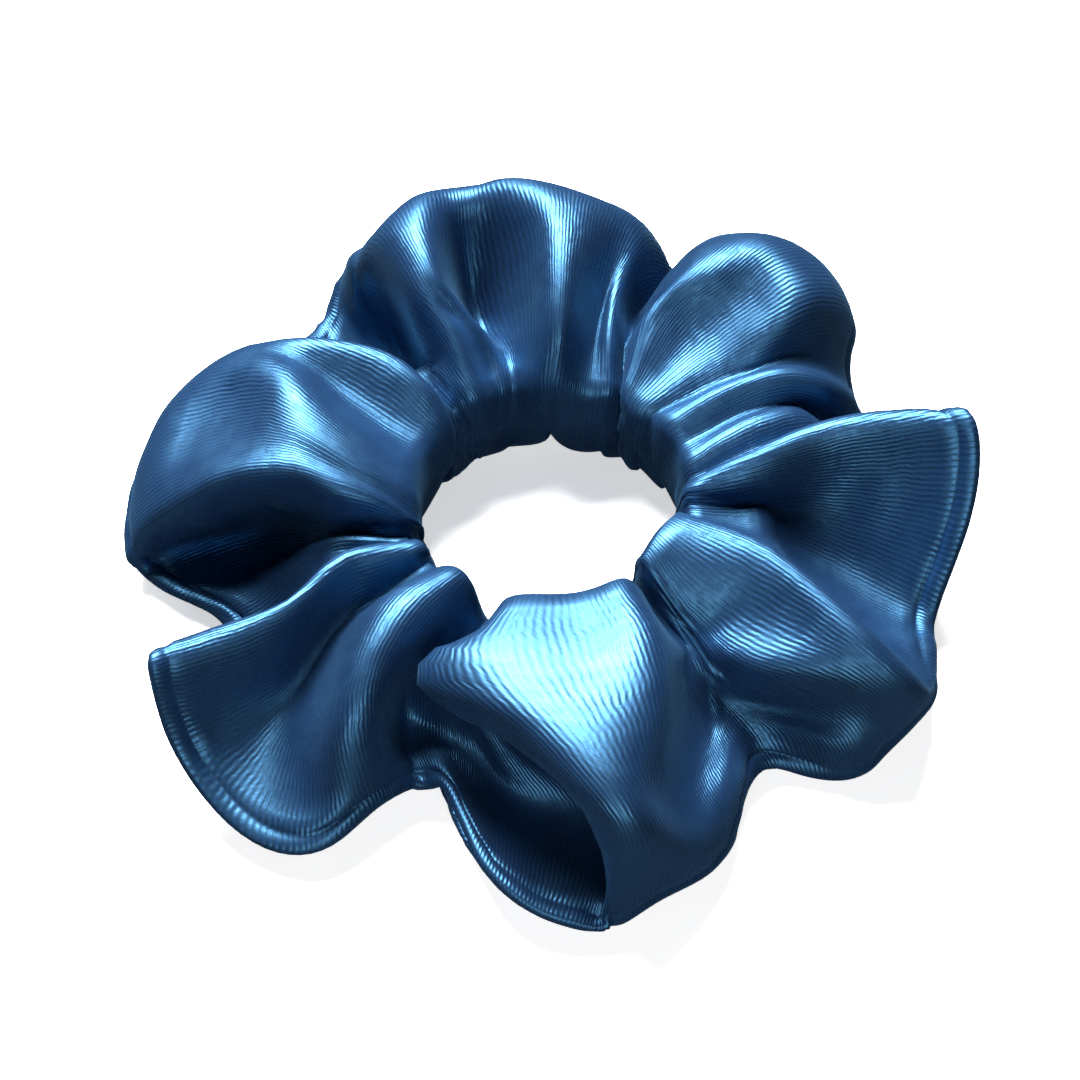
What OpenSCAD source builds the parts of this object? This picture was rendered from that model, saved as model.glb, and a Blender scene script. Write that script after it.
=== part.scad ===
// Gathered satin hair ring: one strip of cloth sewn into a tube along its outer edge,
// gathered over a band of flat elastic. The halves of the cover move apart when the
// elastic is pulled open. Millimetres, +Z up, origin on the table under the ring's centre.

/* [Cover] */
// Radius of the circle that the elastic lies on
ring_r = 26; // [24:0.5:30]
// Distance from the elastic in to the wall of the hole
tube_r = 8.5; // [7.5:0.25:9.5]
// Height of the puffed cloth tube over the elastic
tube_h = 24; // [20:0.5:26]
// Height of the elastic's middle above the table
ring_z = 10; // [9:0.25:11]
// Thickness of the cloth wall, with its loft
wall = 1; // [0.8:0.1:1.3]
// Width of the flat sewn hem at the outer edge
hem_w = 4; // [3:0.5:5]
// Thickness of the sewn hem at its very edge
hem_t = 1.2; // [1:0.1:1.6]
// Share of a gather's rise that reaches the cloth over the elastic
ring_rise = 0.1; // [0:0.02:0.14]

/* [Elastic] */
// Width of the flat elastic band
band_w = 6; // [4:0.5:7]
// Thickness of the flat elastic band
band_t = 1; // [0.8:0.1:1.4]
// Length of the lap where the band's ends are sewn together
lap_l = 14; // [10:1:18]

/* [Stitching] */
// Diameter of the sewing thread
thread_d = 0.5; // [0.3:0.05:0.6]
// Distance of the hem's row of stitches from the outer edge
hem_stitch_in = 3.2; // [2.4:0.1:3.6]
// Number of zigzag stitches across the lap
lap_stitches = 9; // [5:1:12]

/* [Hidden] */

// Crests and hollows of the gathers, round the ring:
// [angle, reach of the outer edge, height of the outer edge, bulge of the cloth before it]
GATHERS = [
    [-13, 52, 4, -4], [8, 57, 27, 0], [20, 46, 8, 0], [28, 46, 10, 3], [37, 46, 7, 1],
    [52, 55, 15, 7], [69, 48, 6, -2], [80, 48, 14, 5], [90, 50, 18, 6], [98, 52, 16, 0],
    [110, 52, 18, 7], [120, 53, 12, 2], [129, 46, 5, -3], [145, 50, 14, 6], [162, 54, 15, 7],
    [175, 55, 12, 6], [190, 44, 3, -5], [197, 44, 5, -3], [207, 57, 25, 1], [219, 58, 6, -2],
    [233, 58, 4, 2], [241, 48, 7, 5], [251, 41, 5, -4], [262, 49, 4, 2], [279, 55, 5, 12],
    [289, 53, 5, 12], [300, 48, 4, 3], [312, 39, 3, -5], [322, 51, 4, 3], [335, 56, 11, 6],
    [347, 52, 4, -4]
];

hole_r = ring_r - tube_r;     // the tube's inner wall, where the cloth is drawn tight
half_gap = 0.2;               // each half of the cover stands this far off the YZ plane
pinch = 1.4;                  // how early the tube narrows towards the hem
sides = 24;                   // points round the tube
ring_step = 3;                // degrees from one ring of points to the next
closing_angle = 138;          // where the strip's two ends meet, on a ring of points
thread_sides = 6;
rise_power = 1.1;             // a gather rises a little faster near the hem
lap_overlap = 0.05;           // the lap reaches this far into the band, so they join
lap_end = 1.5;                // bare elastic beyond the first and last zigzag stitch
lap_stitch_run = 0.62;        // share of the band's width that a zigzag stitch crosses
lap_thread_d = 0.8 * thread_d;

function mix(a, b, t) = a + (b - a) * t;
function ease(t) = (1 - cos(180 * t)) / 2;
function wrap(a) = a - 360 * floor((a - GATHERS[0][0]) / 360);
function row_at(a, i = 0) =
    i + 2 >= len(GATHERS) || GATHERS[i + 1][0] > a ? i : row_at(a, i + 1);

// [reach, height, bulge] of the outer edge at an angle round the ring
function edge_at(angle) =
    let (a = wrap(angle), i = row_at(a), p = GATHERS[i], q = GATHERS[i + 1],
         t = ease((a - p[0]) / (q[0] - p[0])))
    [for (k = [1:3]) mix(p[k], q[k], t)];

// Height of the tube's middle at a radius: it stays by the elastic, then runs to the edge
function middle_z(edge, r) =
    let (s = max(0, (r - ring_r) / (edge[0] - ring_r)),
         rise = (edge[1] - ring_z) * mix(ring_rise, 1, pow(s, rise_power)))
    max(2 * wall, ring_z + rise + edge[2] * 4 * s * (1 - s));

// Half of the tube's thickness, round over the elastic and pinched to a blunt edge at the hem
function half_z(q, inset) =
    let (edge_t = inset > 0 ? hem_t / 2 : hem_t)
    (tube_h / 2 - inset) * sin(q) * pow(abs(sin(q / 2)), pinch)
    + edge_t / 2 * sign(sin(q)) * (1 + cos(q)) / 2;

// The tube's outline at an angle: the cloth's outer face, or its inner face at an inset
function section(angle, inset = 0) =
    let (edge = edge_at(angle), low = hole_r + inset,
         high = edge[0] - (inset > 0 ? hem_w : 0))
    [for (k = [0:sides - 1])
        let (q = 360 * (k + 0.5) / sides, r = mix(low, high, (1 + cos(q)) / 2))
        [r, max(inset, middle_z(edge, r) + half_z(q, inset))]];

// Height of the cloth's upper face at an angle and a radius
function top_z(angle, r) =
    let (edge = edge_at(angle), s = (r - hole_r) / (edge[0] - hole_r))
    middle_z(edge, r) + half_z(acos(2 * s - 1), 0);

function around(angle, p) = [p[0] * cos(angle), p[0] * sin(angle), p[1]];
function flat(rows) = [for (row = rows) each row];

// Faces of a skin with n points in each of m rings; flip turns it inside out
function skin(m, n, first = 0, flip = false) = [
    for (i = [0:m - 2], k = [0:n - 1])
        let (a = first + i * n + k, b = first + i * n + (k + 1) % n, c = b + n, d = a + n)
        each flip ? [[a, c, b], [a, d, c]] : [[a, b, c], [a, c, d]]
];

// Faces of the ring-shaped end between the outer skin's ring and the inner skin's
function end_ring(outer, inner, n, flip = false) = [
    for (k = [0:n - 1])
        let (a = outer + k, b = outer + (k + 1) % n, c = inner + (k + 1) % n, d = inner + k)
        each flip ? [[a, b, c], [a, c, d]] : [[a, c, b], [a, d, c]]
];

// Half of the cloth tube, from one angle to another, hollow and open at both ends
module cover_half(from) {
    angles = [for (a = [from:ring_step:from + 180]) a];
    m = len(angles);
    points = concat(
        flat([for (a = angles) [for (p = section(a)) around(a, p)]]),
        flat([for (a = angles) [for (p = section(a, wall)) around(a, p)]])
    );
    faces = concat(
        skin(m, sides), skin(m, sides, m * sides, true),
        end_ring(0, m * sides, sides), end_ring((m - 1) * sides, (2 * m - 1) * sides, sides, true)
    );
    color([0.10, 0.25, 0.45]) polyhedron(points, faces, convexity = 8);
}

// A thread along the hem, half sunk in the cloth, with closed ends
module hem_thread(from) {
    angles = [for (a = [from + ring_step:ring_step:from + 180 - ring_step]) a];
    m = len(angles);
    points = flat([
        for (a = angles)
            let (r = edge_at(a)[0] - hem_stitch_in, z = top_z(a, r))
            [for (k = [0:thread_sides - 1])
                let (b = 360 * k / thread_sides)
                around(a, [r + thread_d / 2 * cos(b), z + thread_d / 2 * sin(b)])]
    ]);
    faces = concat(
        skin(m, thread_sides), [[for (k = [thread_sides - 1:-1:0]) k]],
        [[for (k = [0:thread_sides - 1]) (m - 1) * thread_sides + k]]
    );
    color([0.07, 0.17, 0.33]) polyhedron(points, faces, convexity = 6);
}

// The thread that closes the tube where the strip's ends meet: a loop round the tube
module closing_seam() {
    outline = section(closing_angle);
    along = [-sin(closing_angle), cos(closing_angle), 0];
    points = flat([
        for (k = [0:sides - 1])
            let (d = outline[(k + 1) % sides] - outline[(k + sides - 1) % sides],
                 out = [d[1], -d[0]] / norm(d),
                 p = [outline[k][0], max(thread_d / 2, outline[k][1])])
            [for (j = [0:thread_sides - 1])
                let (b = 360 * j / thread_sides)
                around(closing_angle, p + thread_d / 2 * cos(b) * out) + thread_d / 2 * sin(b) * along]
    ]);
    count = sides * thread_sides;
    faces = [for (f = skin(sides + 1, thread_sides, 0, true)) [for (index = f) index % count]];
    color([0.07, 0.17, 0.33]) polyhedron(points, faces, convexity = 6);
}

// Flat elastic, standing on its edge: a ring whose ends lap over each other
module elastic_band() {
    lap_angle = lap_l / ring_r * 180 / PI;
    color([0.85, 0.85, 0.83])
    translate([0, 0, ring_z - band_w / 2])
    union() {
        rotate_extrude($fn = 96) translate([ring_r - band_t / 2, 0]) square([band_t, band_w]);
        rotate([0, 0, closing_angle - lap_angle / 2])
        rotate_extrude(angle = lap_angle, $fn = 96)
        translate([ring_r - 3 * band_t / 2, 0]) square([band_t + lap_overlap, band_w]);
    }
}

// Zigzag stitches that hold the lap, on the band's inner face
module elastic_lap_stitches() {
    lean = 30;
    pitch = (lap_l - 2 * lap_end) / (lap_stitches - 1) / ring_r * 180 / PI;
    color([0.95, 0.95, 0.93])
    for (i = [0:lap_stitches - 1])
        rotate([0, 0, closing_angle + (i - (lap_stitches - 1) / 2) * pitch])
        translate([ring_r - 3 * band_t / 2, 0, ring_z])
        rotate([(i % 2 == 0 ? 1 : -1) * lean, 0, 0])
        cylinder(h = band_w * lap_stitch_run, d = lap_thread_d, center = true, $fn = 16);
}

translate([-half_gap, 0, 0]) cover_half(90);  // cover_left
translate([half_gap, 0, 0]) cover_half(270);  // cover_right
translate([-half_gap, 0, 0]) hem_thread(90);  // hem_stitching_left
translate([half_gap, 0, 0]) hem_thread(270);  // hem_stitching_right
translate([-half_gap, 0, 0]) closing_seam();
elastic_band();
elastic_lap_stitches();
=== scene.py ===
"""A satin hair scrunchie: one gathered tube of cloth over a ring of elastic, on a pale table."""

import math

import bpy
import numpy as np
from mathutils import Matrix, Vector


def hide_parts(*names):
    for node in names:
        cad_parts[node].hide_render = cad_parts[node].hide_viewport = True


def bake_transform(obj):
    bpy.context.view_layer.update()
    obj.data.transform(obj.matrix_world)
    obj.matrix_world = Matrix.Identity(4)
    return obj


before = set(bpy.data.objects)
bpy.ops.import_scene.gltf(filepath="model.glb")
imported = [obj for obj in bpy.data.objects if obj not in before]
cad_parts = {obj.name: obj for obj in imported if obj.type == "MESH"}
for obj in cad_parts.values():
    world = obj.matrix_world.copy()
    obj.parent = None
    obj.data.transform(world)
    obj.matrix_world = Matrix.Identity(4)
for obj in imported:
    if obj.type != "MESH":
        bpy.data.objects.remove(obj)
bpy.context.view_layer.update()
MM = 0.001

# ---------------------------------------------------------------- measures, in millimetres
RING_R = 26.0          # radius of the elastic
BAND_W = 6.0           # width of the elastic
BAND_T = 0.9           # thickness of one layer of elastic
BAND_Z = 10.0          # height of the elastic's middle
LAP_ANGLE = 138.0      # where the elastic's ends lap, in degrees
LAP_L = 14.0           # length of the lap
LAP_STEP = 0.55        # how far each end steps aside at the lap
CORDS = 6              # rubber cords across the elastic
ZIGZAGS = 14           # zigzag stitches through the lap
ZIGZAG_MARGIN = 3.0    # length of the lap without zigzags
ZIGZAG_REACH = 2.2     # how far the zigzags go above and below the elastic's middle
ZIGZAG_PROUD = 0.05    # how far the zigzags stand off the elastic
STITCH_IN = 2.2        # distance of the hem's stitches from the outer edge
STITCH_PITCH = 2.6
STITCH_L = 2.1
THREAD_R = 0.17
SEAM_GROOVE = 0.15     # depth of the groove along the closing seam
SLIP_PITCH = 2.2       # the slip stitches that close the seam
SLIP_L = 0.5
SLIP_SIDE = 0.45       # how far a slip stitch reaches to each side of the seam
SLIP_R = 0.13
CLOTH_T = 0.3          # thickness of one layer of satin
OVER_BAND = 1.2        # how far the upper face passes over the elastic
OVER_REACH = 4.5       # the distance from the elastic's middle line at which that ends
OVER_FADE = 3.0        # the distance over which it ends
PUCKER = 0.15          # depth of the puckers beside the hem's stitches
PUFF_RING = 11.5       # how far the lower face hangs at the ring, ending three quarters of the way to the hem
PUFF_FACE = 2.6        # added to that, and fading out only at the hem
PUFF_FADE = 8.0        # distance from the hem over which the two faces part
WALL_BULGE = 1.8       # how far the inner wall bulges into the hole
WALL_REACH = 22.5      # distance from the middle beyond which it doesn't bulge
WALL_FADE = 4.0
LOWEST = 0.35          # lowest height of the lower face before the simulation
LOWEST_SETTLED = 0.6   # and after it
RIBS = 760             # ribs along the whole strip, each of which runs across it
RIB_PITCH = 0.46       # distance between ribs that looks right; where it would be less they merge

# ---------------------------------------------------------------- the mesh
AROUND = 440           # lines along the ring
INWARD = 22            # lines over one face, from the ring to the hem
HEM_LINES = [4.6, 3.4, 2.8, 2.5, 2.2, 1.9, 1.5, 0.9, 0.4, 0.1]
CAP = 9                # lines on the inner wall
SMOOTHING = 8          # rounds of smoothing along the ring
NEAR_FOLD = 12         # lines beside a fold where the two layers lie together
FADE_ROUNDS = 12       # rounds of smoothing where those lines end
RIB_ROUNDS = 6         # rounds of smoothing of the ribs' crowding
SLIP_FROM = 3          # lines between the hem's stitches and the first slip stitch
STITCH_LINE = HEM_LINES[::-1].index(STITCH_IN)

# ---------------------------------------------------------------- the cloth simulation
SIM_SCALE = 20         # the cloth is simulated this many times larger, where the solver is steadier
SIM_FRAMES = 24
SIM_ROW_STEP = 2       # every second line along the ring
SIM_COLUMN_STEP = 2
SPARE = 0.015          # how much the cloth is let out, so that it buckles into small folds
MOST_MOVE = 2.5        # the furthest that the simulation may move a point
HOLD_HEM = 0.9         # how firmly the cloth is held where it is: at the hem,
HOLD_FACE = 0.12       # over its faces,
HOLD_WALL = 0.85       # and at the inner wall
WALL_LINES = 8         # lines of each face that count as the inner wall
SKIN_GAP = 0.4         # least distance between layers of cloth
ROUNDS_ALL = 2         # rounds of smoothing of the whole cover after the simulation
ROUNDS_WALL = 6        # further rounds at the inner wall

# ---------------------------------------------------------------- the camera, in metres
CAMERA_RISE = 58       # degrees that it looks down
CAMERA_AWAY = 0.60
CAMERA_TARGET = (-0.0008, -0.0021, 0.011)
VIEW_WIDTH = 0.1421    # width of the view at the target
SENSOR = 36            # in millimetres

# The gathers, anticlockwise from the back left: each fold line runs over the top of the cover from
# the hole to the hem, as (angle in degrees, reach, height).
FOLDS = [
    # the closing seam, in the valley between the back lobe and the left one
    [(130, 19.5, 15.5), (131.5, 26, 14.3), (133, 33, 6), (132, 42, 4), (130, 48, 4)],
    # wide lobe on the left: a small inner ridge, a crease, and a broad face that ends in a rolled lip
    [(134, 18.7, 17.5), (135, 23, 21), (137, 29, 22.8), (141.5, 36, 22.8), (144, 41, 20), (143, 46, 12),
     (143, 48, 7)],
    [(142, 18.4, 17), (143, 24, 20), (145, 29, 21), (147, 34, 21.5), (148, 40, 22), (148, 46, 16.5),
     (148, 50, 9), (148, 51, 6)],
    [(153, 19, 15.5), (152, 25, 15.3), (151, 29, 16), (150, 34, 17.5), (150, 38.5, 20.5), (151, 46, 18.5),
     (152, 52, 11), (152, 53, 6)],
    [(161, 18.3, 18), (160, 24, 21.5), (157, 30, 23.5), (153.5, 36, 24.5), (153.5, 42, 23), (156, 50, 16),
     (157, 54, 9), (157, 54.5, 6)],
    [(172, 18, 19), (170, 25, 23.5), (164.5, 32, 25.3), (160, 38, 25), (160, 46, 21), (163, 53, 14),
     (164, 55, 7)],
    [(181, 17.8, 19.5), (178, 24, 23.5), (172, 31, 25), (168, 38, 24), (168, 46, 20), (171, 54, 12),
     (172, 56, 6)],
    [(186, 18.2, 18), (182.5, 22.5, 21.5), (179, 27, 23), (175, 34, 23.3), (174.5, 41, 21.5),
     (176, 48, 17), (177, 54.5, 9), (178, 56, 5)],
    [(191, 18, 18.5), (187, 22, 22), (184.5, 27, 24), (181, 33, 24.5), (180.8, 40, 23), (181.5, 48, 17),
     (181, 54, 9), (181, 55.5, 5)],
    [(190, 18.5, 16), (186, 27, 15), (174, 35, 8), (177, 45, 4.5), (182, 54, 3)],
    [(194, 19, 15), (190, 28, 14), (182, 36, 4), (184, 44, 2.5), (186, 50, 3)],
    [(197, 19, 17), (192, 27, 17), (190, 34, 12), (192, 40, 6), (192, 44, 3)],
    [(200, 20, 15.5), (195, 28, 14), (197, 36, 5), (197, 43, 3)],
    # pointed flap at the front left
    [(204, 19, 20), (203, 28, 22), (206, 38, 21), (205, 48, 19), (206, 56, 19)],
    [(208, 18.5, 21), (206, 29, 22), (208, 41, 22), (208, 57, 24)],
    [(214, 18.5, 18), (213, 31, 14), (217, 43, 9), (216, 58, 8)],
    [(218, 18.6, 18.5), (216, 30, 15), (221, 43, 10), (227, 58, 4)],
    [(222, 18.8, 20.5), (219, 28, 19.5), (225, 38, 17), (231, 46, 12), (237, 54, 4)],
    [(227, 18.8, 23), (223, 27.5, 24), (229, 37, 22.5), (234, 43.6, 18), (240, 47, 6)],
    [(233, 18.5, 24.5), (231, 26.7, 25.5), (234, 35.5, 23), (238, 40.5, 17), (242, 43, 6)],
    [(238, 18.5, 22), (237, 25.6, 21), (235, 33, 17), (238, 37, 10), (244, 40, 5)],
    # front lobe, hooded over a pocket
    [(242, 19, 18), (239, 26, 14.5), (233, 30, 6), (237, 34, 4), (247, 39, 5)],
    [(246, 19.5, 16), (241, 26, 14.5), (241, 31, 5), (250, 38, 7)],
    [(248, 19.5, 16), (243, 26, 14.5), (249, 31.5, 5), (256, 44, 8)],
    [(249.5, 19.6, 16), (246, 26, 15), (258, 33, 4), (262, 50.6, 8)],
    [(251, 19.7, 16.5), (248.5, 26, 16), (262, 32, 9), (272, 38, 2.5), (269, 54.4, 6)],
    [(252, 19.8, 18), (250.5, 26, 18.5), (262, 31.5, 16), (281, 38, 6), (281, 46, 3), (276, 56, 4)],
    [(253, 20, 21.5), (250, 25.5, 22), (239, 30, 21.5), (240, 33.4, 20), (258, 35, 22), (272, 45, 22),
     (277, 52, 15), (279, 55.4, 3.5)],
    [(255, 19.7, 24.5), (250, 28, 25.5), (261, 35, 27), (273, 44, 27), (280, 52, 23), (282, 55, 10),
     (282, 55, 4)],
    [(263, 18.4, 25), (269, 29.4, 27), (278, 41, 27.5), (283, 51, 25), (285, 53.6, 10), (285, 53.4, 4)],
    [(274, 18.2, 22.5), (277, 30.5, 26), (282, 43, 26.5), (285, 51, 23), (288, 53, 10), (289, 52.6, 4)],
    [(283, 19.9, 20.5), (283, 32, 25), (286, 44, 24.5), (287, 51, 19), (290, 53, 8), (291, 52.6, 4)],
    [(290, 19.1, 24), (290, 32.6, 26.5), (288, 44, 23.5), (289, 51, 16), (293, 52.7, 6), (293, 52.5, 4)],
    [(299, 19.2, 26), (298, 29.7, 27), (294, 39.2, 25), (292, 47, 17), (294, 51, 10), (296, 51, 4)],
    [(305, 19.3, 22), (304, 30.4, 18), (299, 39.7, 13), (297, 48, 12), (299, 49.6, 5)],
    [(309, 19.8, 18), (308, 30, 14), (308, 36, 8), (305, 43, 10), (305, 44.5, 4)],
    # puffed lobe at the front right
    [(311, 20, 17), (312, 29, 13.5), (313, 36.8, 5), (313, 41.9, 3)],
    [(312, 18.9, 20.5), (313, 29.4, 14), (315, 35.9, 8), (317, 42, 7), (316, 46.9, 2)],
    [(314, 18.2, 23), (314, 26.7, 17), (315, 35, 14), (320, 42, 10), (320, 50, 9), (321, 52, 2)],
    [(318, 17.8, 24), (317, 26.3, 19), (316, 35, 19), (321, 42.7, 20), (325, 50.5, 17), (328, 53.3, 3)],
    [(323, 17.4, 24.5), (324, 25, 21.5), (326, 34.7, 19.5), (327, 45.5, 19.5), (328, 53.5, 14),
     (332, 54.9, 4)],
    [(330, 17.6, 25), (329, 26, 23.5), (328, 36.4, 22.8), (327, 47, 22), (328, 54.5, 17), (335, 55.5, 5)],
    [(338, 17.9, 24), (337, 27, 24.5), (333, 38.4, 24.5), (331, 48, 22.5), (331, 55, 17), (336, 55.3, 6)],
    [(347, 18.5, 20), (346, 27, 18), (341, 37, 14), (341, 45.7, 9), (343, 53.2, 6)],
    # right flap
    [(353, 19.5, 16), (353, 27, 14), (355, 34, 8), (348, 52, 4)],
    [(357, 19, 16.5), (360, 28.2, 13), (358, 37.4, 9), (351, 52.5, 7)],
    [(0, 18.9, 17), (3, 29.5, 15), (4, 38.8, 13), (357, 55.1, 16)],
    [(3, 18.6, 18), (5, 29.6, 19), (7, 40.3, 19), (4, 56.4, 24)],
    [(6, 18.8, 18.5), (9, 28, 21.5), (10, 37.5, 23), (9, 55, 29)],
    [(9, 19.2, 17.5), (12.5, 28.5, 20.5), (14.5, 38, 21), (13.5, 47, 20), (12.5, 52, 16)],
    # two small rolls behind it
    [(12, 19.8, 15.5), (16, 29, 16.5), (19, 38, 14), (18, 45, 7)],
    [(14, 19.8, 18), (19, 29, 20.2), (20, 36, 19.5), (18.5, 41, 13), (19, 44, 6)],
    [(18, 19.6, 19), (22, 29, 21), (22.5, 36, 19.5), (20.5, 41, 13), (21, 44, 6)],
    [(23, 19.8, 17), (25.5, 30, 17), (26, 37, 13), (23, 44, 5)],
    [(28, 20, 17), (28.5, 30, 19), (26.5, 37, 19.5), (22.5, 43, 15), (23, 46, 7)],
    [(34, 19.6, 19.5), (31.5, 29, 22), (29, 36, 22.3), (24.5, 43, 18.5), (24.5, 47, 8)],
    [(40, 19.5, 18), (35, 29, 20), (32.5, 37, 19), (29, 44, 13), (28, 47, 6)],
    # cupped lobe at the back right
    [(43, 19.8, 16.5), (37.5, 29, 18), (35, 38, 18.5), (34, 45, 16), (34, 49, 10)],
    [(47, 19, 18), (42, 29, 20.5), (37.5, 37, 24), (36, 44, 24.5), (36, 50, 18), (36, 52, 11)],
    [(52, 18.8, 17.5), (50, 29, 20), (46.5, 37, 23.5), (44, 43, 26), (42, 50, 22), (41, 53, 13)],
    [(56, 19, 18), (59, 31, 24), (54, 38, 27), (52, 46, 25.5), (52, 52, 18), (52, 54, 11)],
    [(59, 20, 18), (65, 28, 20), (64, 40, 21), (63, 51, 13)],
    [(60, 21, 14.3), (68, 28.7, 14.3), (68.5, 34, 11), (67, 42, 7), (66, 47, 5)],
    # big lobe at the back: a broad ridge each side of a deep valley, and a cave under its left end
    [(66, 19, 17.5), (72, 26, 21), (73, 34, 22), (71, 42, 20.5), (70, 46.5, 13), (69.5, 47.5, 7)],
    [(72, 19.5, 15), (75.5, 26, 14.3), (75.5, 32, 14.5), (74.5, 37.5, 19), (74.5, 43, 22),
     (73.5, 47.5, 14), (73, 48.5, 8)],
    [(77, 18, 17.5), (78, 22, 21.5), (77.5, 27, 24.5), (77, 33, 25), (77.5, 39, 25), (77.5, 44, 22.5),
     (77, 48, 14), (77, 49, 8)],
    [(79.8, 18.2, 16.5), (80, 23, 18), (80, 28, 21), (80.5, 34, 25.5), (81, 40, 26.5), (81, 44.5, 23),
     (81, 48.5, 14), (81, 49.5, 8)],
    [(83, 17.9, 19), (81.5, 22, 24.5), (81.5, 28, 27.4), (82, 36, 27.7), (82, 42, 26), (82, 47, 18),
     (82, 49, 9)],
    [(87.5, 17.8, 19), (86, 22.5, 25), (86.5, 30, 27.8), (87, 37, 28), (87.5, 43, 26.8), (88, 48.5, 18.5),
     (88, 50.5, 9)],
    [(92.5, 17.9, 19), (90.5, 22.5, 24.5), (91, 30, 27.5), (92, 38, 28.2), (93.5, 44, 27.3),
     (93.5, 49.5, 18.5), (93.5, 51, 9)],
    [(97, 18.3, 17.5), (95.5, 24, 20), (95.5, 30, 20.5), (97, 37, 22), (99, 43, 26), (99.5, 46, 26.8),
     (99, 50, 18), (99, 52, 9)],
    [(100.5, 20, 15), (100, 25, 15), (101, 30, 12), (102, 36, 12.5), (102.5, 41, 18), (102, 45.5, 26),
     (101.5, 50.8, 18), (101.5, 52.3, 9)],
    [(103, 21, 14.8), (104, 25.5, 14.4), (106.5, 30, 6), (107.5, 36, 5), (106, 41, 11),
     (104.3, 45.5, 25.5), (104, 51.2, 18), (104, 52.6, 9)],
    [(105, 19.6, 16), (105, 24, 17.5), (108, 29, 14), (109, 35, 16), (108, 41, 22), (106.5, 46, 26.5),
     (106, 51.5, 18), (106, 52.8, 9)],
    [(107, 18.6, 18), (104.5, 21.8, 22), (106.5, 26, 25.5), (109, 31, 27.5), (109.5, 38, 28.3),
     (108.5, 45.5, 27.5), (108, 51.7, 17), (108, 53, 9)],
    [(110, 20.5, 15), (109.8, 23, 14), (110.3, 26, 17), (111.8, 29, 24), (112.8, 34, 28), (113, 40, 28.3),
     (112, 46, 26.8), (111.5, 52, 15), (111.5, 53, 9)],
    [(114, 18.5, 17.5), (114.8, 22, 20.5), (115, 26, 24), (115.5, 31, 27.2), (116.5, 38, 27.8),
     (117, 44, 26), (115.5, 50.5, 15), (115, 52.8, 8)],
    [(120, 18.3, 18.5), (121, 23, 21.5), (120, 28.3, 24.8), (119.2, 36, 25.8), (120.5, 42, 25),
     (121.5, 46, 20.5), (119.5, 51.5, 11), (119.5, 52.5, 7)],
    [(125, 19, 18), (124.2, 24.5, 17.5), (121.5, 29, 8), (120.3, 35, 3.5), (120.8, 40, 3.5),
     (122.8, 44, 9), (123.5, 47, 14), (123, 50.5, 9), (123, 51.5, 6)],
    [(127.5, 19.5, 16.5), (127, 26.5, 15), (125.5, 32, 5), (124.5, 38, 2.5), (125.5, 43, 3), (126, 48, 6),
     (126, 50.5, 4.5)],
]


def spline(points, where, closed=False):
    """Smooth curves through a list of points (the first axis), read at positions 0 to 1.

    The knots are spaced by the root of the distance between points, which keeps sharp bends tame.
    """
    points = np.asarray(points, float)
    count = len(points)
    if closed:
        points = np.concatenate([points[-1:], points, points[:2]])
    else:
        first = 2 * points[:1] - points[1:2]
        last = 2 * points[-1:] - points[-2:-1]
        points = np.concatenate([first, points, last])
    steps = np.linalg.norm(np.diff(points, axis=0), axis=-1)
    steps = steps.reshape(len(steps), -1).mean(axis=1)
    knots = np.concatenate([[0], np.cumsum(np.sqrt(steps + 1e-9))])
    spans = count if closed else count - 1
    total = knots[1 + spans] - knots[1]
    t = knots[1] + np.clip(where, 0, 1) * total
    i = np.clip(np.searchsorted(knots, t, side="right") - 1, 1, spans)
    shape = (-1,) + (1,) * (points.ndim - 1)
    k0, k1, k2, k3 = (knots[i + d].reshape(shape) for d in (-1, 0, 1, 2))
    p0, p1, p2, p3 = (points[i + d] for d in (-1, 0, 1, 2))
    t = t.reshape(shape)
    a = p0 + (p1 - p0) * (t - k0) / (k1 - k0)
    b = p1 + (p2 - p1) * (t - k1) / (k2 - k1)
    c = p2 + (p3 - p2) * (t - k2) / (k3 - k2)
    d = a + (b - a) * (t - k0) / (k2 - k0)
    e = b + (c - b) * (t - k1) / (k3 - k1)
    return d + (e - d) * (t - k1) / (k2 - k1)


def lengths(curve):
    """The distance along a curve to each of its points."""
    return np.concatenate([[0], np.cumsum(np.linalg.norm(np.diff(curve, axis=0), axis=-1))])


def polar(point):
    angle, reach, height = point
    return (reach * math.cos(math.radians(angle)), reach * math.sin(math.radians(angle)), height)


def smooth_step(x):
    x = np.clip(x, 0, 1)
    return x * x * (3 - 2 * x)


def at_least(value, low, softness):
    """A soft maximum: value where it is well above low, and easing into low where it isn't."""
    return low + softness * np.logaddexp(0, (value - low) / softness)


def unit(vectors):
    return vectors / np.maximum(np.linalg.norm(vectors, axis=-1, keepdims=True), 1e-9)


def fold_line(fold):
    """One fold line resampled: even steps from the hole, then close lines beside the hem."""
    fine = np.linspace(0, 1, 600)
    dense = spline([polar(p) for p in fold], fine)
    run = lengths(dense)
    inward = np.linspace(0, run[-1] - HEM_LINES[0], INWARD)[:-1]
    goal = np.concatenate([inward, run[-1] - np.array(HEM_LINES)])
    return spline([polar(p) for p in fold], np.interp(goal, run, fine))


def top_face():
    """The cover's upper face as a grid of points: along the ring, then from the hole to the hem."""
    lines = np.array([fold_line(fold) for fold in FOLDS])
    fine = np.linspace(0, 1, 2400)
    dense = spline(lines, fine, closed=True)
    run = lengths(dense[:, int(INWARD * 0.8)])
    goal = np.linspace(0, run[-1], AROUND + 1)[:AROUND]
    grid = spline(lines, np.interp(goal, run, fine), closed=True)
    for _ in range(SMOOTHING):
        grid = (np.roll(grid, 1, axis=0) + 2 * grid + np.roll(grid, -1, axis=0)) / 4
    return grid


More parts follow.
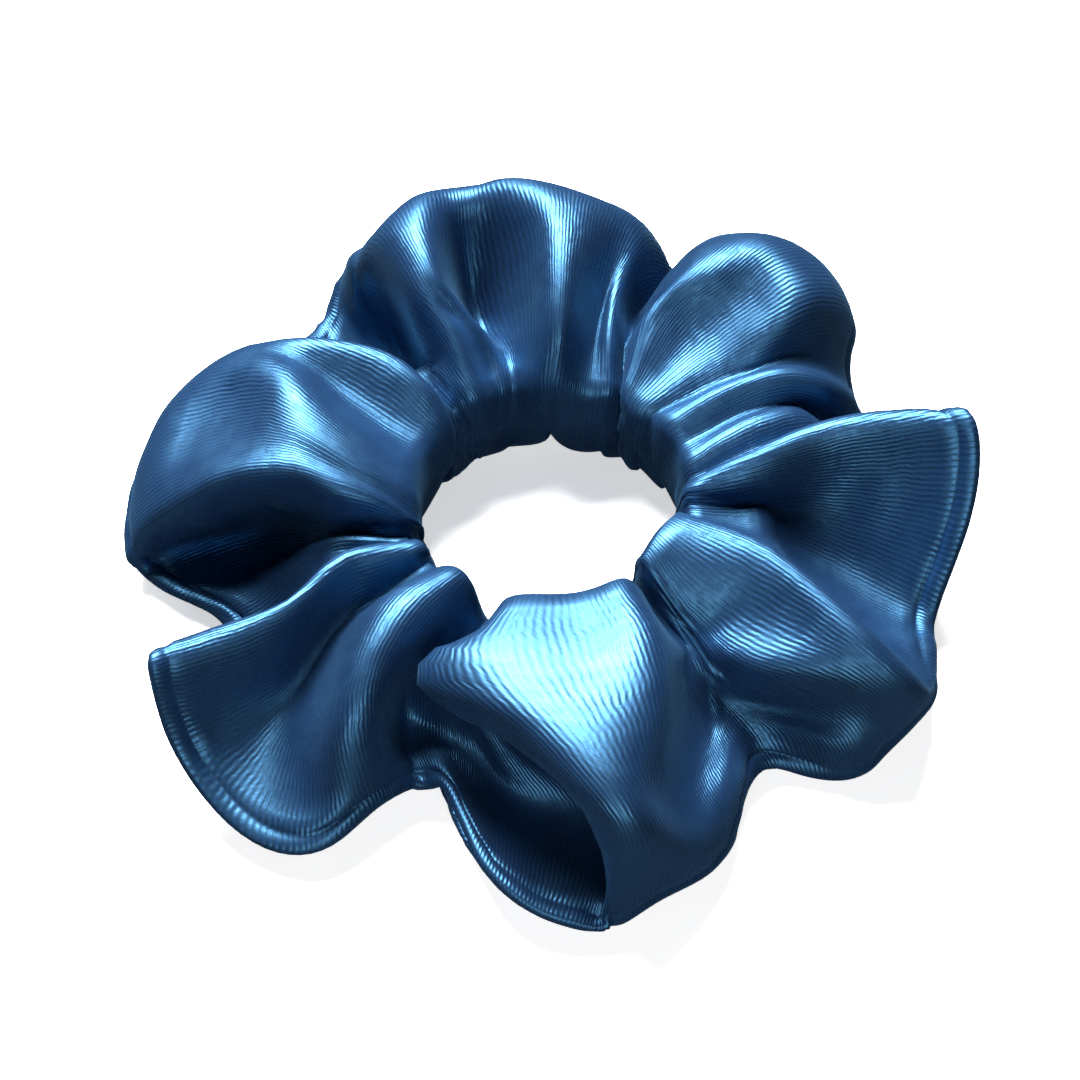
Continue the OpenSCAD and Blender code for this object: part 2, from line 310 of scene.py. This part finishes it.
def grid_normals(grid):
    """Normals of a grid that is closed along its first axis."""
    along = np.roll(grid, -1, axis=0) - np.roll(grid, 1, axis=0)
    across = np.gradient(grid, axis=1)
    return unit(np.cross(unit(across), unit(along)))


def folded_under(normals):
    """From 0 to 1, how near each point is to where the cloth turns under itself, along the ring."""
    under = (normals[:, :, 2] < 0.1).astype(float)
    near = np.max([np.roll(under, k, axis=0) for k in range(-NEAR_FOLD, NEAR_FOLD + 1)], axis=0)
    for _ in range(FADE_ROUNDS):
        near = (np.roll(near, 1, axis=0) + 2 * near + np.roll(near, -1, axis=0)) / 4
    return near


def over_elastic(top):
    """The upper face, raised over the elastic. The inner wall and the lower face are not held off it."""
    reach = np.linalg.norm(top[:, :, :2], axis=-1)
    near = smooth_step((OVER_REACH - np.abs(reach - RING_R)) / OVER_FADE)
    lift = at_least(top[:, :, 2], BAND_Z + BAND_W / 2 + OVER_BAND, 0.5) - top[:, :, 2]
    return top + (lift * near)[..., None] * [0, 0, 1]


def cover_grid():
    """The whole tube of cloth as a grid: along the ring, then round the tube from hem to hem."""
    top = over_elastic(top_face())
    reach = np.linalg.norm(top[:, :, :2], axis=-1)

    normals = grid_normals(top)
    run = np.linalg.norm(np.diff(top, axis=1), axis=-1)
    from_hem = np.cumsum(run[:, ::-1], axis=1)
    to_hem = np.concatenate([from_hem[:, ::-1], np.zeros((AROUND, 1))], axis=1)
    share = 1 - to_hem / to_hem[:, :1]

    along_hem = lengths(top[:, -1])[:, None]
    pucker = PUCKER * np.sin(along_hem * 1.03 + 1.7 * np.sin(along_hem * 0.27))
    ridge = np.interp(to_hem, [0, 1.1, STITCH_IN, 3.3, 6], [0.05, 0.2, -0.15, 0.12, 0])
    beside = smooth_step(1 - np.abs(to_hem - STITCH_IN) / 3)
    top += normals * (ridge + pucker * beside)[..., None]

    hem = np.interp(to_hem, [0, 0.4, 1.1, STITCH_IN, 3.4, 6], [0.7, 1.1, 1.5, 0.8, 1.6, 2.2])
    puff = PUFF_RING * (1 - smooth_step(share / 0.75)) ** 1.3 + PUFF_FACE * (1 - share) ** 0.5
    puff *= smooth_step(to_hem / PUFF_FADE)
    puff *= 1 - folded_under(normals) * smooth_step((reach - 27) / 5)
    low = top - normals * hem[..., None]
    low[:, :, 2] -= puff
    low[:, :, 2] = at_least(low[:, :, 2], LOWEST, 0.25)

    start = top[:, 0]
    end = low[:, 0]
    out = unit(start * [1, 1, 0])
    start_reach = np.linalg.norm(start[:, :2], axis=-1, keepdims=True)
    bulge = WALL_BULGE * smooth_step((WALL_REACH - start_reach) / WALL_FADE)
    wall = []
    for k in range(1, CAP + 1):
        t = k / (CAP + 1)
        point = start * (1 - t) + end * t
        wall.append(point - out * bulge * math.sin(math.pi * t) ** 0.7)
    wall = np.stack(wall, axis=1)
    return np.concatenate([top[:, ::-1], wall, low], axis=1)


def bilinear(field, rows, columns, shape):
    """A coarse field, known at some rows and columns of a grid closed both ways, read at every point."""
    rows = np.append(rows, shape[0])
    field = np.concatenate([field, field[:1]])
    every_row = np.arange(shape[0])
    i = np.clip(np.searchsorted(rows, every_row, side="right") - 1, 0, len(rows) - 2)
    t = ((every_row - rows[i]) / (rows[i + 1] - rows[i]))[:, None, None]
    field = field[i] * (1 - t) + field[i + 1] * t
    every_column = np.arange(shape[1])
    j = np.clip(np.searchsorted(columns, every_column, side="right") - 1, 0, len(columns) - 2)
    t = ((every_column - columns[j]) / (columns[j + 1] - columns[j]))[None, :, None]
    return field[:, j] * (1 - t) + field[:, j + 1] * t


def settle(grid):
    """Let the cloth out a little and simulate it, so that it puffs and buckles a little."""
    rows = np.arange(0, grid.shape[0], SIM_ROW_STEP)
    half = grid.shape[1] // 2
    columns = np.unique(np.concatenate([np.arange(0, half, SIM_COLUMN_STEP), [half]]))
    columns = np.unique(np.concatenate([columns, grid.shape[1] - 1 - columns]))
    coarse = grid[np.ix_(rows, columns)]
    faces, _, _ = tube_faces(len(rows), len(columns))
    obj = link("simulated", coarse.reshape(-1, 3) * SIM_SCALE, faces)

    to_hem = np.minimum(columns, grid.shape[1] - 1 - columns)
    hold = np.where(to_hem < len(HEM_LINES), HOLD_HEM, HOLD_FACE)
    hold = np.where(to_hem > len(HEM_LINES) + INWARD - WALL_LINES, HOLD_WALL, hold)
    hold = np.tile(hold, len(rows))
    group = obj.vertex_groups.new(name="hold")
    for index, weight in enumerate(hold):
        group.add([index], float(weight), "REPLACE")

    cloth = obj.modifiers.new("cloth", "CLOTH")
    settings = cloth.settings
    settings.quality = 6
    settings.mass = 0.3
    settings.tension_stiffness = 15
    settings.compression_stiffness = 15
    settings.shear_stiffness = 5
    settings.bending_stiffness = 4
    settings.vertex_group_mass = "hold"
    settings.pin_stiffness = 1
    settings.shrink_min = -SPARE
    settings.use_pressure = True
    settings.uniform_pressure_force = 1.0
    settings.effector_weights.gravity = 0.3
    cloth.collision_settings.use_collision = False
    cloth.collision_settings.use_self_collision = True
    cloth.collision_settings.self_distance_min = SKIN_GAP * MM * SIM_SCALE

    scene = bpy.context.scene
    cloth.point_cache.frame_start = 1
    cloth.point_cache.frame_end = SIM_FRAMES
    for frame_number in range(1, SIM_FRAMES + 1):
        scene.frame_set(frame_number)
    shaped = obj.evaluated_get(bpy.context.evaluated_depsgraph_get())
    places = np.empty(len(obj.data.vertices) * 3)
    shaped.data.vertices.foreach_get("co", places)
    scene.frame_set(1)
    bpy.data.objects.remove(obj)

    move = places.reshape(coarse.shape) / MM / SIM_SCALE - coarse
    far = np.linalg.norm(move, axis=-1, keepdims=True)
    move *= np.minimum(1, MOST_MOVE / np.maximum(far, 1e-9))
    settled = grid + bilinear(move, rows, columns, grid.shape)
    near_wall = smooth_step((CAP - np.abs(np.arange(grid.shape[1]) - half)) / 4)
    for share in [np.ones(len(near_wall))] * ROUNDS_ALL + [near_wall] * ROUNDS_WALL:
        smooth = (np.roll(settled, 1, axis=0) + 2 * settled + np.roll(settled, -1, axis=0)) / 4
        settled += (smooth - settled) * share[:, None]
    settled[:, :half] = over_elastic(settled[:, :half])
    settled[:, half:, 2] = at_least(settled[:, half:, 2], LOWEST_SETTLED, 0.1)
    return settled


def tube_normals(grid):
    """Outward normals of a grid that is closed both ways."""
    along = np.roll(grid, -1, axis=0) - np.roll(grid, 1, axis=0)
    across = np.roll(grid, -1, axis=1) - np.roll(grid, 1, axis=1)
    return unit(np.cross(across, along))


def link(name, points, faces):
    """A smooth mesh object from points in millimetres."""
    mesh = bpy.data.meshes.new(name)
    mesh.from_pydata((np.asarray(points) * MM).tolist(), [], np.asarray(faces).tolist())
    for polygon in mesh.polygons:
        polygon.use_smooth = True
    obj = bpy.data.objects.new(name, mesh)
    bpy.context.collection.objects.link(obj)
    return obj


def tube_faces(rows, columns):
    """Faces of a grid closed both ways, and each corner's row and column."""
    row, column = np.meshgrid(np.arange(rows), np.arange(columns), indexing="ij")
    corner_rows = np.stack([row, row, row + 1, row + 1], axis=-1).reshape(-1, 4)
    corner_columns = np.stack([column, column + 1, column + 1, column], axis=-1).reshape(-1, 4)
    return (corner_rows % rows) * columns + corner_columns % columns, corner_rows, corner_columns


def cover_mesh(name, grid):
    """The cover as a mesh with two skins, a cloth's thickness apart.

    The cloth's own coordinates are its UV map, and an attribute says how crowded its ribs are.
    """
    rows, columns, _ = grid.shape
    inner = grid - tube_normals(grid) * CLOTH_T
    faces, corner_rows, corner_columns = tube_faces(rows, columns)
    inner_faces = faces[:, ::-1] + rows * columns
    points = np.concatenate([grid.reshape(-1, 3), inner.reshape(-1, 3)])
    obj = link(name, points, np.concatenate([faces, inner_faces]))

    steps = np.linalg.norm(np.diff(grid, axis=1), axis=-1).mean(axis=0)
    across = np.concatenate([[0], np.cumsum(steps), [steps.sum() + 1]])
    cloth = np.stack([corner_rows / rows, across[corner_columns] / 100], axis=-1)
    layer = obj.data.uv_layers.new(name="cloth")
    layer.data.foreach_set("uv", np.concatenate([cloth, cloth[:, ::-1]]).reshape(-1))

    spacing = np.linalg.norm(np.roll(grid, -1, axis=0) - np.roll(grid, 1, axis=0), axis=-1) / 2
    for _ in range(RIB_ROUNDS):
        spacing = (np.roll(spacing, 1, axis=0) + 2 * spacing + np.roll(spacing, -1, axis=0)) / 4
    crowding = np.clip(np.log2(RIBS / rows * RIB_PITCH / spacing), 0, 2).reshape(-1)
    attribute = obj.data.attributes.new("crowding", "FLOAT", "POINT")
    attribute.data.foreach_set("value", np.concatenate([crowding, crowding]))
    return obj


def ropes(name, rings):
    """A mesh of closed-ended ropes from rings of points: (ropes, rings, points round, 3).

    Its UV map runs along each rope and round it.
    """
    count, steps, sides, _ = rings.shape
    points = []
    faces = []
    places = []
    for rope in range(count):
        first = rope * steps * sides
        for step in range(steps - 1):
            for side in range(sides):
                following = (side + 1) % sides
                near = first + step * sides
                far = near + sides
                faces.append((near + side, near + following, far + following, far + side))
                low, high = step / (steps - 1), (step + 1) / (steps - 1)
                left, right = side / sides, (side + 1) / sides
                places += [(low, left), (low, right), (high, right), (high, left)]
        faces.append(tuple(first + side for side in reversed(range(sides))))
        faces.append(tuple(first + (steps - 1) * sides + side for side in range(sides)))
        places += [(0, 0)] * sides + [(1, 0)] * sides
    mesh = bpy.data.meshes.new(name)
    mesh.from_pydata((rings.reshape(-1, 3) * MM).tolist(), [], faces)
    for polygon in mesh.polygons:
        polygon.use_smooth = True
    layer = mesh.uv_layers.new(name="rope")
    layer.data.foreach_set("uv", np.array(places, float).reshape(-1))
    obj = bpy.data.objects.new(name, mesh)
    bpy.context.collection.objects.link(obj)
    return obj


def stitches(name, starts, ends, ups, radius=THREAD_R):
    """Separate stitches of thread, each arched a little and sinking into the cloth at its ends."""
    turns = np.linspace(0, 2 * math.pi, 8, endpoint=False)
    steps = np.linspace(0, 1, 7)
    ups = unit(ups)
    sideways = unit(np.cross(ends - starts, ups))
    rings = []
    for t in steps:
        end = abs(2 * t - 1)
        centre = starts * (1 - t) + ends * t + ups * radius * (0.7 - 2.0 * end ** 3)
        wide = radius * (1 - 0.4 * end ** 4)
        ring = [centre + wide * (math.cos(a) * sideways + math.sin(a) * ups) for a in turns]
        rings.append(np.stack(ring, axis=1))
    return ropes(name, np.stack(rings, axis=1))


def row_of_stitches(path, ups, pitch, length):
    """Starts, ends and upward directions of stitches spaced evenly along a path."""
    run = lengths(path)
    count = int(run[-1] / pitch)
    middle = (np.arange(count) + 0.5) * run[-1] / count

    def at(values, distance):
        return np.stack([np.interp(distance, run, values[:, k]) for k in range(3)], axis=1)

    return at(path, middle - length / 2), at(path, middle + length / 2), at(ups, middle)


def hem_stitches(grid):
    """The row of stitches that holds the hem flat, seen on both faces."""
    normals = tube_normals(grid)
    rows = []
    for column in (STITCH_LINE, grid.shape[1] - 1 - STITCH_LINE):
        path = np.concatenate([grid[:, column], grid[:1, column]])
        ups = np.concatenate([normals[:, column], normals[:1, column]])
        rows.append(row_of_stitches(path, ups, STITCH_PITCH, STITCH_L))
    return stitches("hem_topstitch", *(np.concatenate(part) for part in zip(*rows)))


def seam_stitches(grid):
    """Small slip stitches across the closing seam, all the way round the tube."""
    normals = tube_normals(grid)
    first = STITCH_LINE + SLIP_FROM
    last = grid.shape[1] - first
    starts, ends, ups = row_of_stitches(grid[0, first:last], normals[0, first:last], SLIP_PITCH, SLIP_L)
    side = unit(np.cross(ends - starts, ups)) * SLIP_SIDE
    return stitches("closing_slip_stitches", starts - side, ends + side, ups, SLIP_R)


def elastic():
    """A flat braided elastic band, its ends lapped."""
    lap = LAP_L / RING_R
    first = math.radians(LAP_ANGLE) - lap / 2
    turn = np.linspace(0, 2 * math.pi + lap, 361)
    into = smooth_step((turn - lap) / lap)
    out_of = smooth_step((turn - 2 * math.pi + lap) / lap)
    radius = RING_R - LAP_STEP + LAP_STEP * into + LAP_STEP * out_of
    profile = []
    for a in np.linspace(0, 2 * math.pi, 44, endpoint=False):
        high = BAND_W / 2 * np.sign(math.cos(a)) * abs(math.cos(a)) ** 0.5
        cord = 0.8 + 0.2 * abs(math.sin(math.pi * (high + BAND_W / 2) / BAND_W * CORDS))
        thick = BAND_T / 2 * np.sign(math.sin(a)) * abs(math.sin(a)) ** 0.35 * cord
        profile.append((thick, high))
    rings = [
        np.stack(
            [
                (radius + thick) * np.cos(first + turn),
                (radius + thick) * np.sin(first + turn),
                np.full_like(turn, BAND_Z + high),
            ],
            axis=-1,
        )
        for thick, high in profile
    ]
    return ropes("braided_elastic", np.stack(rings, axis=1)[None])


def lap_zigzag():
    """The zigzag of thread through the elastic's lap, seen on its outside and its inside."""
    lap = (LAP_L - ZIGZAG_MARGIN) / RING_R
    turn = math.radians(LAP_ANGLE) + np.linspace(-lap / 2, lap / 2, ZIGZAGS + 1)
    high = BAND_Z + ZIGZAG_REACH * np.where(np.arange(ZIGZAGS + 1) % 2, 1, -1)
    starts, ends, ups = [], [], []
    for side in (1, -1):
        radius = RING_R + side * (LAP_STEP + BAND_T / 2 + ZIGZAG_PROUD)
        line = np.stack([radius * np.cos(turn), radius * np.sin(turn), high], axis=1)
        starts.append(line[:-1])
        ends.append(line[1:])
        ups.append((line[:-1] + line[1:]) * [side, side, 0])
    return stitches("elastic_zigzag", np.concatenate(starts), np.concatenate(ends), np.concatenate(ups))


# ---------------------------------------------------------------- materials


class Nodes:
    """A short way to add and join shader nodes."""

    def __init__(self, name):
        self.material = bpy.data.materials.new(name)
        self.material.use_nodes = True
        self.tree = self.material.node_tree
        self.shader = self.tree.nodes["Principled BSDF"]

    def join(self, value, socket):
        if isinstance(value, bpy.types.NodeSocket):
            self.tree.links.new(value, socket)
        else:
            socket.default_value = value

    def math(self, operation, a, b=0.0):
        node = self.tree.nodes.new("ShaderNodeMath")
        node.operation = operation
        self.join(a, node.inputs[0])
        self.join(b, node.inputs[1])
        return node.outputs[0]

    def span(self, value, low, high, to_low=0.0, to_high=1.0):
        node = self.tree.nodes.new("ShaderNodeMapRange")
        for socket, number in zip(node.inputs, (value, low, high, to_low, to_high)):
            self.join(number, socket)
        return node.outputs[0]

    def mix(self, factor, a, b):
        node = self.tree.nodes.new("ShaderNodeMix")
        node.data_type = "RGBA"
        self.join(factor, node.inputs["Factor"])
        self.join(a, node.inputs[6])
        self.join(b, node.inputs[7])
        return node.outputs[2]

    def noise(self, vector, scale, detail=2.0, roughness=0.5):
        node = self.tree.nodes.new("ShaderNodeTexNoise")
        self.join(vector, node.inputs["Vector"])
        node.inputs["Scale"].default_value = scale
        node.inputs["Detail"].default_value = detail
        node.inputs["Roughness"].default_value = roughness
        return node.outputs["Fac"]

    def uv(self, name):
        node = self.tree.nodes.new("ShaderNodeUVMap")
        node.uv_map = name
        return node.outputs[0]

    def parts(self, vector):
        node = self.tree.nodes.new("ShaderNodeSeparateXYZ")
        self.join(vector, node.inputs[0])
        return node.outputs

    def vector(self, x, y, z=0.0):
        node = self.tree.nodes.new("ShaderNodeCombineXYZ")
        for socket, number in zip(node.inputs, (x, y, z)):
            self.join(number, socket)
        return node.outputs[0]

    def attribute(self, name):
        node = self.tree.nodes.new("ShaderNodeAttribute")
        node.attribute_name = name
        return node.outputs["Fac"]

    def bump(self, height, distance, strength=1.0, normal=None):
        node = self.tree.nodes.new("ShaderNodeBump")
        node.inputs["Distance"].default_value = distance
        node.inputs["Strength"].default_value = strength
        self.join(height, node.inputs["Height"])
        if normal is not None:
            self.join(normal, node.inputs["Normal"])
        return node.outputs[0]


def satin():
    """Navy satin with fine ribs across the strip. Ribs merge in pairs where the cloth is crowded."""
    n = Nodes("navy_satin")
    u, v, _ = n.parts(n.uv("cloth"))
    cloth_length = RIBS * RIB_PITCH / 1000
    place = n.vector(n.math("MULTIPLY", u, cloth_length * 10), v)
    wander = n.math("SUBTRACT", n.noise(place, 18, 2), 0.5)
    waver = n.math("SUBTRACT", n.noise(place, 70, 2), 0.5)
    turn = n.math("ADD", n.math("MULTIPLY", wander, 1.2), n.math("MULTIPLY", waver, 0.55))
    crowding = n.attribute("crowding")
    ribs = 0.0
    for level in range(3):
        count = RIBS / 2 ** level
        phase = n.math("ADD", n.math("MULTIPLY", u, count), n.math("MULTIPLY", turn, 1 / 2 ** level))
        wave = n.math("SINE", n.math("MULTIPLY", phase, 2 * math.pi))
        distance = n.math("ABSOLUTE", n.math("SUBTRACT", crowding, level))
        weight = n.math("MAXIMUM", n.math("SUBTRACT", 1.0, distance), 0.0)
        ribs = n.math("ADD", ribs, n.math("MULTIPLY", wave, weight))
    depth = n.span(n.noise(place, 9, 3), 0.3, 0.7, 0.5, 1.0)
    breaks = n.span(n.noise(place, 90, 2), 0.35, 0.6, 0.35, 1.0)
    ribs = n.math("MULTIPLY", ribs, n.math("MULTIPLY", depth, breaks))
    # painted shade: the base colour follows the ribs' height, lighter on their crests and darker in the
    # grooves between them, as light would fall on them
    high = n.span(ribs, -1, 1)
    tone = n.noise(place, 5, 3)
    rib_shaded_colour = n.mix(high, (0.003, 0.009, 0.030, 1), (0.007, 0.023, 0.078, 1))
    lighter = n.mix(0.35, rib_shaded_colour, (0.010, 0.035, 0.112, 1))
    n.join(n.mix(n.span(tone, 0.3, 0.7), rib_shaded_colour, lighter), n.shader.inputs["Base Color"])
    n.shader.inputs["Metallic"].default_value = 0.55
    n.shader.inputs["IOR"].default_value = 2.1
    n.shader.inputs["Specular Tint"].default_value = (0.24, 0.72, 1.0, 1)
    n.join(n.span(n.noise(place, 40, 3), 0.3, 0.7, 0.40, 0.48), n.shader.inputs["Roughness"])
    n.shader.inputs["Sheen Weight"].default_value = 0.04
    n.shader.inputs["Sheen Roughness"].default_value = 0.4
    n.shader.inputs["Sheen Tint"].default_value = (0.25, 0.6, 1.0, 1)
    n.join(n.bump(ribs, 0.000032), n.shader.inputs["Normal"])
    return n.material


def thread(name, colour):
    """Polyester sewing thread with a visible twist."""
    n = Nodes(name)
    u, v, _ = n.parts(n.uv("rope"))
    twist = n.math("SINE", n.math("MULTIPLY", n.math("ADD", n.math("MULTIPLY", u, 4), v), 2 * math.pi))
    # painted highlight and shade: the strands are painted lighter on the crests of the twist and darker in
    # its grooves, in step with the bump
    twist_highlight = tuple(min(1, c * 1.6) for c in colour)
    n.join(n.mix(n.span(twist, -1, 1), (*colour, 1), (*twist_highlight, 1)), n.shader.inputs["Base Color"])
    n.shader.inputs["Roughness"].default_value = 0.45
    n.shader.inputs["Sheen Weight"].default_value = 0.2
    n.join(n.bump(twist, 0.00004), n.shader.inputs["Normal"])
    return n.material


def braid():
    """White braided elastic: fine plaited yarns over rubber cords."""
    n = Nodes("braided_white")
    u, v, _ = n.parts(n.uv("rope"))
    along = n.math("MULTIPLY", u, 260)
    around = n.math("MULTIPLY", v, 24)
    left = n.math("SINE", n.math("MULTIPLY", n.math("ADD", along, around), math.pi))
    right = n.math("SINE", n.math("MULTIPLY", n.math("SUBTRACT", along, around), math.pi))
    plait = n.math("MAXIMUM", left, right)
    # painted shade: the yarns are near white where they stand up and painted grey in the grooves between
    # them, in step with the bump
    colour = n.mix(n.span(plait, -1, 1), (0.45, 0.45, 0.43, 1), (0.82, 0.82, 0.8, 1))
    n.join(colour, n.shader.inputs["Base Color"])
    n.shader.inputs["Roughness"].default_value = 0.8
    n.join(n.bump(plait, 0.00008), n.shader.inputs["Normal"])
    return n.material


# ---------------------------------------------------------------- the studio


def camera():
    """The camera looks down from the front."""
    data = bpy.data.cameras.new("camera")
    obj = bpy.data.objects.new("camera", data)
    bpy.context.collection.objects.link(obj)
    target = Vector(CAMERA_TARGET)
    rise = math.radians(CAMERA_RISE)
    away = Vector((0, -math.cos(rise), math.sin(rise)))
    obj.location = target + away * CAMERA_AWAY
    obj.rotation_euler = away.to_track_quat("Z", "Y").to_euler()
    data.lens = SENSOR * CAMERA_AWAY / VIEW_WIDTH
    data.sensor_width = SENSOR
    bpy.context.scene.camera = obj


def lamp(name, place, size, power, colour=(1, 1, 1)):
    data = bpy.data.lights.new(name, "AREA")
    data.shape = "RECTANGLE"
    data.size, data.size_y = size
    data.energy = power
    data.color = colour
    obj = bpy.data.objects.new(name, data)
    bpy.context.collection.objects.link(obj)
    obj.location = place
    obj.rotation_euler = (Vector(place) - Vector((0, 0, 0.01))).to_track_quat("Z", "Y").to_euler()


def floor():
    mesh = bpy.data.meshes.new("floor")
    half = 3
    corners = [(-half, -half, 0), (half, -half, 0), (half, half, 0), (-half, half, 0)]
    mesh.from_pydata(corners, [], [(0, 1, 2, 3)])
    obj = bpy.data.objects.new("floor", mesh)
    bpy.context.collection.objects.link(obj)
    material = bpy.data.materials.new("pale_table")
    material.use_nodes = True
    shader = material.node_tree.nodes["Principled BSDF"]
    shader.inputs["Base Color"].default_value = (0.9, 0.9, 0.9, 1)
    shader.inputs["Emission Color"].default_value = (1, 1, 1, 1)
    shader.inputs["Emission Strength"].default_value = 0.6
    mesh.materials.append(material)
    obj.visible_glossy = False


camera()
floor()
lamp("key", (-0.10, 0.34, 0.50), (0.36, 0.28), 29)
lamp("front", (0.02, -0.45, 0.25), (0.24, 0.12), 1.6)
bpy.context.scene.view_settings.view_transform = "Standard"
bpy.context.scene.view_settings.look = "None"

world = bpy.data.worlds.new("studio")
bpy.context.scene.world = world
world.use_nodes = True
world.node_tree.nodes["Background"].inputs["Color"].default_value = (1, 1, 1, 1)
world.node_tree.nodes["Background"].inputs["Strength"].default_value = 0.02

grid = cover_grid()
grid = settle(grid)
grid[0] -= tube_normals(grid)[0] * SEAM_GROOVE
cover = cover_mesh("satin_cover", grid)
cover.data.materials.append(satin())
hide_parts("cover_left", "cover_right")

hem = hem_stitches(grid)
hem.data.materials.append(thread("navy_thread", (0.012, 0.04, 0.10)))
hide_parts("hem_stitching_left", "hem_stitching_right")

seam = seam_stitches(grid)
seam.data.materials.append(hem.data.materials[0])
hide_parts("closing_seam")

band = elastic()
band.data.materials.append(braid())
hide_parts("elastic_band")

zigzag = lap_zigzag()
zigzag.data.materials.append(thread("white_thread", (0.5, 0.5, 0.48)))
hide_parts("elastic_lap_stitches")

for piece in (cover, hem, seam, band, zigzag):
    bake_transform(piece)
